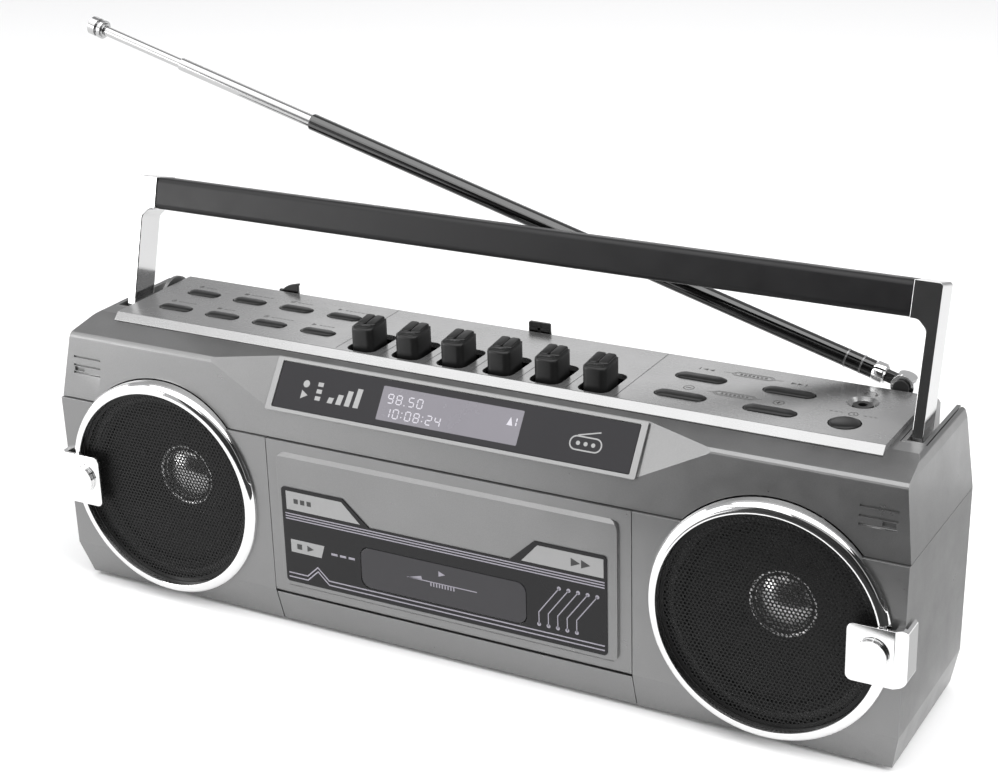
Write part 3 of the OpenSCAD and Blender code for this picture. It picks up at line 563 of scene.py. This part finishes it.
# ---- piano keys: a shell round each cap, with two pads, a lip and a mark on top ----
KEYS = ["record_key", "play_key", "rewind_key", "forward_key", "stop_key", "pause_key"]
KEY_FRONT_Z = 128.3
KEY_BACK_Z = 129.7
KEY_DEPTH = 13.3
KEY_HALF = 5.1
for node in KEYS:
    dress(node, "key", 0.55, segments=4)
    low, high = case(node)
    x = (low[0] + high[0]) / 2
    front = low[1]
    rise = (KEY_BACK_Z - KEY_FRONT_Z) / KEY_DEPTH

    def on_key(u, v, w):
        return point(x + u, front + v, KEY_FRONT_Z + rise * v + w)

    shell = [(rounded(i - KEY_HALF, i - 0.15, KEY_HALF - i, 13.5 - i, 2.6 - i * 0.5), w)
             for i, w in ((0.0, -11.5), (0.0, -0.9), (0.12, -0.3), (0.4, 0.1), (0.9, 0.32))]
    piece(node + "_shell", *loft(on_key, shell), "key", node, "black_plastic")
    halves = []
    for s in (-1, 1):
        rings = []
        for inset, w in ((0.0, -0.3), (0.0, 0.5), (0.3, 0.8), (0.9, 0.88)):
            a, b = sorted((s * (0.14 + inset * 0.3), s * (4.3 - inset)))
            rings.append((rounded(a, 4.0 + inset, b, 13.0 - inset, 1.2 - inset * 0.6), w))
        halves.append(loft(on_key, rings))
    piece(node + "_pads", *join(*halves), "key", node, "black_plastic")
    rings = [(rounded(-3.2 + i, 0.9 + i, 3.2 - i, 4.0 - i * 0.5, 1.0), w)
             for i, w in ((0.0, -0.3), (0.0, 0.4), (0.3, 0.58))]
    piece(node + "_lip", *loft(on_key, rings), "key", node, "black_plastic")
    mark = Shapes(on_key, 0.63, -0.5)
    kind = KEYS.index(node)
    if kind == 0:
        mark.disc(0, 2.5, 0.62, 16)
    elif kind == 4:
        for u in (-1.4, 0.25):
            mark.box(u, 1.9, u + 1.15, 3.0)
    elif kind == 5:
        for u in (-0.7, 0.3):
            mark.box(u, 1.8, u + 0.42, 3.1)
    else:
        d = -1 if kind == 2 else 1
        for u in ((0.0,) if kind == 1 else (-0.85, 0.55)):
            mark.fill([(u - 0.6 * d, 1.8), (u + 0.7 * d, 2.45), (u - 0.6 * d, 3.1)])
    mark.make(node + "_mark", "ink_dark", node, "black_plastic")

# ---- buttons: pillows with a flange under the plate and a stem to the switch ----
FLANGE = 1.2
FLANGE_RISE = 2.7
FLANGE_THICK = 1.1
STEM_R = 1.6
CROWN_STEPS = 7


def pillow(node, round_cap=False):
    """A button's cap, flange and stem; gives the middle and the size of the cap."""
    low, high = case(node)
    u, v = (low[0] + high[0]) / 2, (low[1] + high[1]) / 2
    w, d = high[0] - low[0] - 2 * FLANGE, high[1] - low[1] - 2 * FLANGE
    if round_cap:
        w, d = w + 0.2, d + 0.2
    top, flange_z = high[2], low[2] + FLANGE_RISE
    cap_h = top - PLATE_Z
    rings = [(stadium(u, v, w + 2 * FLANGE, d + 2 * FLANGE), flange_z),
             (stadium(u, v, w + 2 * FLANGE, d + 2 * FLANGE), flange_z + FLANGE_THICK),
             (stadium(u, v, w, d), flange_z + FLANGE_THICK),
             (stadium(u, v, w, d), PLATE_Z - 0.1)]
    for i in range(1, CROWN_STEPS + 1):
        t = i / CROWN_STEPS
        inset = (1 - math.sqrt(max(0.0, 1 - t * t))) * d * 0.37
        slope = 1.0 if round_cap else 1.9
        z = PLATE_Z - 0.1 + (cap_h + 0.1) * t
        rings.append((stadium(u, v, max(w - 2 * slope * inset, d - 2 * inset + 0.02),
                              d - 2 * inset), z))
    rings = [(ring, z - PLATE_Z) for ring, z in rings]
    stem = [(circle(u, v, STEM_R, 16), z - PLATE_Z) for z in (low[2], flange_z + 0.3)]
    skin = piece(node + "_cap", *join(loft(on_plate, rings), loft(on_plate, stem)),
                 "button", node, "button_black")
    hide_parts(node)
    return u, v, w, d


SMALL = ["power_button", "mode_button", "menu_button", "select_button", "scan_button",
         "preset_button", "folder_button", "info_button"]
WIDE = ["tune_down_button", "tune_up_button", "volume_down_button", "volume_up_button"]
at = {node: pillow(node) for node in SMALL + WIDE}
at["alarm_button"] = pillow("alarm_button", round_cap=True)

# ---- printed marks on the control plate ----
marks = Shapes(on_plate, 0.03)
for index, node in enumerate(SMALL):
    u, v, w, d = at[node]
    top = v + d / 2 + 4.6
    left = u - 6.5
    # a plain symbol and a row of short dashes, different for each button
    if index % 4 == 0:
        marks.ring(left, top, 1.1, 0.35, 20)
        marks.box(left - 0.17, top, left + 0.17, top + 1.5)
    elif index % 4 == 1:
        marks.box(left - 1.0, top - 0.9, left + 1.0, top + 0.9)
    elif index % 4 == 2:
        for k in (-0.8, 0, 0.8):
            marks.box(left - 1.1, top + k - 0.16, left + 1.1, top + k + 0.16)
    else:
        marks.fill([(left - 1.0, top - 1.0), (left + 1.1, top), (left - 1.0, top + 1.0)])
    count = 3 + (index * 3) % 5
    for k in range(count):
        marks.box(left + 2.6 + k * 2.0, top - 0.22, left + 3.9 + k * 2.0, top + 0.22)


def skip_mark(u, v, direction):
    for k in (0, 1):
        a = u + direction * (1.2 + 2.6 * k)
        marks.fill([(a, v), (a + direction * 2.2, v - 0.95), (a + direction * 2.2, v + 0.95)])
    marks.box(u - 0.2, v - 1.0, u + 0.2, v + 1.0)


def hexagon(u, v, w, d):
    nose = d / 2
    return [(u - w / 2, v), (u - w / 2 + nose, v - d / 2), (u + w / 2 - nose, v - d / 2),
            (u + w / 2, v), (u + w / 2 - nose, v + d / 2), (u - w / 2 + nose, v + d / 2)]


skip_mark(82.6, 63.8, 1)
skip_mark(126.6, 63.8, -1)
for v, left, right in ((64.2, 92.6, 117.2), (43.0, 94.8, 116.6)):
    middle = (left + right) / 2
    marks.line(hexagon(middle, v, 18.0, 3.9), 0.3, closed=True)
    marks.line(hexagon(middle, v, 15.8, 2.4), 0.25, closed=True)
    for k in range(7):
        marks.box(middle - 5.6 + k * 1.7, v - 0.6, middle - 4.6 + k * 1.7, v + 0.6)
    marks.box(left, v - 0.12, middle - 9.0, v + 0.12)
    marks.box(middle + 9.0, v - 0.12, right, v + 0.12)
for u in (86.8, 123.4):
    marks.ring(u, 43.2, 2.2, 0.35)
    marks.box(u - 1.2, 42.95, u + 1.2, 43.45)
marks.box(123.15, 42.0, 123.65, 44.4)
u, v, w, d = at["alarm_button"]
marks.ring(u, v + 9.3, 1.9, 0.35)
marks.line([(u, v + 10.5), (u, v + 9.3), (u + 0.9, v + 8.8)], 0.3)
for s in (-1, 1):
    for k in range(3):
        marks.box(u + s * (4.6 + 2 * k) - 0.6, v + 9.1, u + s * (4.6 + 2 * k) + 0.6, v + 9.5)
jack = [(a + b) / 2 for a, b in zip(*case("headphone_jack"))]
marks.line(circle(jack[0], jack[1] + 9.2, 2.2, 16, 0, 180.0), 0.35)
for s in (-1, 1):
    marks.fill(rounded(jack[0] + s * 2.2 - 0.55, jack[1] + 7.9,
                       jack[0] + s * 2.2 + 0.55, jack[1] + 9.6, 0.3))
marks.make("control_plate_marks", "ink_grey", "cabinet", "black_plastic")

# painted shade: thin dark lines laid flat on the plate where the grooves between the keys and the groups of
# buttons are, for the shade in those grooves
grooves = Shapes(on_plate, 0.012, 0.02)
pitch = case("play_key")[0][0] - case("record_key")[0][0]
first = (case("record_key")[0][0] + case("record_key")[1][0]) / 2
for k in range(7):
    x = first + (k - 0.5) * pitch
    back = PLATE_HIGH[1] - 1.5 if k in (0, 6) else 47.0
    grooves.box(x - 0.16, PLATE_LOW[1] + 4.2, x + 0.16, back)
grooves.make("control_plate_groove_shade", "ink_dark", "cabinet", "plate_silver")

# ---- display: lit area, digits and plain symbols ----
lit = Shapes(on_glass, 0.03, 0.05)
lit.fill(rounded(-31.5, 4.6, 31.9, 18.6, 0.5))
lit.make("display_lit_area", "lit", "cabinet", "lcd")
digits = Shapes(on_glass, 0.055, -0.025)
SEGMENTS = {"0": "abcdef", "1": "bc", "2": "abged", "3": "abgcd", "4": "fgbc", "5": "afgcd",
            "6": "afgedc", "7": "abc", "8": "abcdefg", "9": "abfgcd"}


def number(text, u, v, w, h, line, step, sheet):
    for char in text:
        if char in SEGMENTS:
            across = {"a": v + h, "g": v + h / 2, "d": v}
            upright = {"f": (u, 1), "e": (u, 0), "b": (u + w, 1), "c": (u + w, 0)}
            for s in SEGMENTS[char]:
                if s in across:
                    sheet.box(u + line * 0.6, across[s] - line / 2,
                              u + w - line * 0.6, across[s] + line / 2)
                else:
                    a, up = upright[s]
                    b = v + up * h / 2
                    sheet.box(a - line / 2, b + line * 0.4, a + line / 2,
                              b + h / 2 - line * 0.4)
            u += step
        else:
            for b in ((0.25, 0.75) if char == ":" else (0.0,)):
                sheet.box(u - 0.25, v + b * h - 0.25, u + 0.25, v + b * h + 0.25)
            u += step * 0.45


number("98.50", -28.2, 12.0, 2.3, 3.6, 0.45, 3.9, digits)
number("10:08:24", -28.2, 6.2, 2.3, 3.6, 0.45, 3.9, digits)
digits.fill([(25.6, 12.0), (28.2, 12.0), (26.9, 15.4)])
number("1", 28.0, 12.0, 1.6, 3.4, 0.5, 3.0, digits)
digits.make("display_digits", "digits", "cabinet", "lcd")

symbols = Shapes(on_glass, 0.03, 0.02)
symbols.disc(-67.0, 13.6, 1.5)
symbols.fill([(-68.3, 7.2), (-68.3, 10.8), (-65.2, 9.0)])
for k in range(3):
    symbols.box(-61.5, 7.6 + k * 2.9, -59.0, 9.3 + k * 2.9)
for k, h in enumerate((2.4, 4.2, 6.4, 8.0)):
    a = -55.5 + k * 4.1
    symbols.fill([(a, 7.4), (a + 2.4, 7.4), (a + 2.9, 7.4 + h), (a + 0.5, 7.4 + h)])
symbols.line(rounded(53.6, 7.6, 66.8, 12.9, 2.6), 0.55, closed=True)
for u in (57.0, 60.2, 63.4):
    symbols.disc(u, 10.25, 0.85, 16)
symbols.line([(56.2, 13.2), (65.4, 15.6)], 0.5)
symbols.make("display_symbols", "ink_silver", "cabinet", "display_glass")

# ---- door print ----
silver = Shapes(on_label, 0.04)
silver.fill([(-73.2, 55.5), (-37.6, 55.5), (-46.1, 63.8), (-73.2, 63.8)])
silver.fill([(36.4, 55.4), (71.9, 55.4), (71.9, 63.4), (43.6, 63.4)])
silver.fill([(-72.2, 36.2), (-57.4, 36.2), (-55.6, 42.0), (-72.2, 42.0)])
silver.make("door_print_silver", "ink_silver", "door", "label")

dark = Shapes(on_label, 0.065, -0.03)
dark.box(-69.2, 37.9, -66.8, 40.3)
dark.fill([(-64.2, 37.7), (-60.9, 39.1), (-64.2, 40.5)])
for k in range(3):
    dark.box(-69.5 + 3.2 * k, 58.6, -67.4 + 3.2 * k, 60.7)
dark.fill([(58.0, 57.6), (62.0, 59.4), (58.0, 61.2)])
dark.fill([(62.4, 57.6), (66.4, 59.4), (62.4, 61.2)])
dark.make("door_print_dark", "ink_dark", "door", "label")

lilac = Shapes(on_label, 0.035)
for z in (53.6, 52.45, 51.3):
    lilac.box(-74.0, z - 0.26, 72.3, z + 0.26)
for z in (26.3, 24.4):
    lilac.line([(-74.2, z), (-64.9, z), (-59.6, z + 5.0), (-54.3, z), (72.2, z)], 0.55)
for k in range(5):
    x = 43.7 + 4.12 * k
    lilac.disc(x, 29.3, 0.85, 20)
    lilac.disc(x + 9.0, 46.8, 0.85, 20)
    lilac.line([(x, 29.3), (x, 34.7), (x + 9.0, 46.8)], 0.42)
for k in range(3):
    lilac.box(-52.4 + 4.2 * k, 38.6, -49.4 + 4.2 * k, 39.6)
lilac.make("door_print_lines", "ink_lilac", "door", "label")

pointer = Shapes(on_window, 0.04)
pointer.line([(16.0, 36.8), (-16.0, 36.8)], 0.4)
pointer.fill([(-16.6, 36.6), (-9.2, 36.9), (-9.6, 38.5)])
for k in range(9):
    pointer.box(-5.4 + 1.32 * k, 34.9, -4.85 + 1.32 * k, 36.7)
pointer.fill([(-1.4, 40.0), (1.6, 41.2), (-1.4, 42.4)])
pointer.make("window_print", "ink_lilac", "door", "window")

# ---- antenna hooks and their bracket, and ring marks on the tube ----
REAR = case("antenna_clips")[0][1]


def upright(outline, y0, y1):
    """An outline in x and z, as thick as from y0 to y1."""
    def place(u, v, w):
        return point(u, w, v)
    return loft(place, [(outline, y0), (outline, y1)])


def seat(x0, x1):
    """The curved shelf behind a hook that the folded antenna lies in."""
    def place(u, v, w):
        return point(w, u, v)
    bed = circle(REAR + 6.1, 120.0, 4.75, 8, 180, 90.0)
    profile = ([(REAR, 110.0), (REAR + 1.3, 110.0), (REAR + 1.3, 113.6), (REAR + 5.6, 114.0),
                (REAR + 9.0, 114.0), (REAR + 9.0, 115.2), (REAR + 7.2, 115.2)] + bed[::-1]
               + [(REAR, 119.9)])
    return loft(place, [(profile, x) for x in (x0, x1)])


fin = ([(-124.3, 115.2), (-114.6, 115.2), (-114.4, 122.3), (-113.6, 123.5), (-114.5, 123.6)]
       + [(-114.6 - 9.4 * math.sin(a), 116.6 + 6.6 * math.cos(a))
          for a in (math.radians(10 * k) for k in range(2, 9))])
post = rounded(0.5, 112.0, 10.5, 123.5, 0.8, 3)
ribs = Shapes(lambda u, v, w: point(u, REAR - w, v), 0.35, 0.2)
ribs.box(4.9, 118.4, 6.1, 123.0)
ribs.box(0.9, 120.2, 10.1, 121.3)
hooks = piece("antenna_hooks", *join(upright(fin, REAR, REAR + 1.3),
                                     upright(post, REAR, REAR + 1.3),
                                     seat(-124.5, -114.5), seat(0.5, 10.5),
                                     upright(rounded(154, 106, 166, 118, 1.5), REAR, REAR + 1.25),
                                     revolve(160, REAR + 1.25, 120, [(3.2, 0), (3.2, 1.25)]),
                                     revolve(160, REAR + 3.1, 120, [(1.5, 0), (1.5, 2)])),
              "black", "cabinet", "black_plastic", bevel=0.3)
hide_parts("antenna_clips")
ribs.make("antenna_hook_ribs", "black", "cabinet", "black_plastic")

for joint in frame["joints"]:
    if joint["name"] == "antenna_middle_slide":
        ALONG = Vector(joint["axis"]).normalized()
    if joint["name"] == "antenna_swivel":
        PIVOT = Vector(joint["pos_m"])


def round_tube(start, profile, steps=32):
    """A ring round the antenna: its closed profile is (radius, distance from start)."""
    side = ALONG.cross(Vector((0, 1, 0))).normalized()
    back = side.cross(ALONG)

    def place(u, v, w):
        return PIVOT + ALONG * (start + w) * MM + side * u * MM + back * v * MM
    return loft(place, [(circle(0, 0, r, steps), h) for r, h in profile + profile[:1]],
                closed_ends=False)


for k, start in enumerate((17.5, 24.0)):
    piece(f"antenna_ring_mark_{k}",
          *round_tube(start, [(3.45, 0), (3.78, 0.15), (3.78, 0.75), (3.45, 0.9)]),
          "bezel", "antenna_outer", "chrome")
piece("antenna_tube_collar",
      *round_tube(8.0, [(3.4, 0), (4.1, 0.6), (4.1, 4.2), (3.7, 5.0), (3.4, 5.0)]),
      "chrome", "antenna_outer", "chrome")

# ---- floor, light and camera ----
floor_mat = bpy.data.materials.new("floor_white")
floor_mat.use_nodes = True
floor_tree = floor_mat.node_tree
haze = add(floor_tree, "TexNoise", {"Scale": 6.0, "Detail": 2.0})
pale = add(floor_tree, "MixRGB", {"Fac": haze.outputs["Fac"], "Color1": (0.86, 0.86, 0.86, 1),
                                  "Color2": (0.89, 0.89, 0.89, 1)})
floor_tree.links.new(pale.outputs["Color"],
                     floor_tree.nodes["Principled BSDF"].inputs["Base Color"])
floor_tree.nodes["Principled BSDF"].inputs["Roughness"].default_value = 0.7
bpy.ops.mesh.primitive_circle_add(vertices=96, radius=14, fill_type="NGON")
floor = bpy.context.object
floor.name = "studio_floor"
floor.data.materials.append(floor_mat)

LIT_POINT = Vector((0, 0, 0.1))


def softbox(name, place, size, power, seen=True):
    """A soft light towards the object; one that isn't seen leaves no glossy reflection."""
    light = bpy.data.lights.new(name, "AREA")
    light.shape = "RECTANGLE"
    light.size, light.size_y = size
    light.energy = power
    lamp = bpy.data.objects.new(name, light)
    bpy.context.scene.collection.objects.link(lamp)
    lamp.location = place
    lamp.visible_glossy = seen
    lamp.rotation_euler = (LIT_POINT - Vector(place)).to_track_quat("-Z", "Y").to_euler()


softbox("top_softbox", (0.1, -0.3, 1.8), (3.2, 1.8), 44)
softbox("left_softbox", (-1.6, -1.3, 0.5), (1.2, 0.8), 15)
softbox("right_softbox", (1.9, -0.6, 0.9), (0.9, 1.2), 38, seen=False)
softbox("back_softbox", (-1.0, 2.0, 1.1), (0.9, 0.9), 2.5)
world = bpy.data.worlds.new("studio")
bpy.context.scene.world = world
world.use_nodes = True
world.node_tree.nodes["Background"].inputs["Color"].default_value = (0.95, 0.95, 0.96, 1)
world.node_tree.nodes["Background"].inputs["Strength"].default_value = 0.56
bpy.context.scene.view_settings.view_transform = "Standard"


def card(name, corners, glow=0.0):
    """A dark or a white card round the object, seen only in glossy reflections."""
    mat = bpy.data.materials.new(name)
    mat.use_nodes = True
    shader = mat.node_tree.nodes["Principled BSDF"]
    shader.inputs["Base Color"].default_value = grey(0.01)
    shader.inputs["Emission Color"].default_value = grey(1.0)
    shader.inputs["Emission Strength"].default_value = glow
    me = bpy.data.meshes.new(name)
    me.from_pydata(corners, [], [range(len(corners))])
    me.materials.append(mat)
    obj = bpy.data.objects.new(name, me)
    bpy.context.scene.collection.objects.link(obj)
    obj.visible_camera = obj.visible_diffuse = obj.visible_shadow = False
    obj.visible_transmission = False


card("front_card", [(-1.0, -2.2, 0.0), (1.8, -2.2, 0.0), (1.8, -2.2, 1.6), (-1.0, -2.2, 1.6)])
card("floor_card", [(-0.9, -2.2, 0.001), (1.6, -2.2, 0.001), (1.6, -0.12, 0.001),
                    (0.25, -0.12, 0.001), (0.0, -0.19, 0.001)])
card("left_card", [(-2.0, -1.9, 0.0), (-2.0, 1.6, 0.0), (-2.0, 1.6, 1.2), (-2.0, -1.9, 1.2)], 2.0)
card("facet_card", [(-1.75, -0.75, 0.9), (-0.1, -1.75, 1.1), (-0.1, -1.45, 1.75),
                    (-1.5, -0.55, 1.45)], 2.2)
card("cheek_card", [(0.2, -0.03, 0.001), (0.45, -0.03, 0.001), (0.45, 0.27, 0.001),
                    (0.2, 0.27, 0.001)], 0.6)
card("right_card", [(2.3, -2.2, 0.0), (2.3, 0.6, 0.0), (2.3, 0.6, 2.4), (2.3, -2.2, 2.4)])

EYE = Vector((0.37869, -0.66126, 0.41055))
AHEAD = Vector((-0.45566, 0.80986, -0.36946)).normalized()
ROLL = math.radians(-1.66)
lens = bpy.data.cameras.new("camera")
lens.lens, lens.sensor_width = 73.53, 36.0
camera = bpy.data.objects.new("camera", lens)
bpy.context.scene.collection.objects.link(camera)
level = AHEAD.cross(Vector((0, 0, 1))).normalized()
above = level.cross(AHEAD)
right = level * math.cos(ROLL) + above * math.sin(ROLL)
upward = above * math.cos(ROLL) - level * math.sin(ROLL)
turned = Matrix((right, upward, -AHEAD)).transposed().to_4x4()
camera.matrix_world = Matrix.Translation(EYE) @ turned
bpy.context.scene.camera = camera
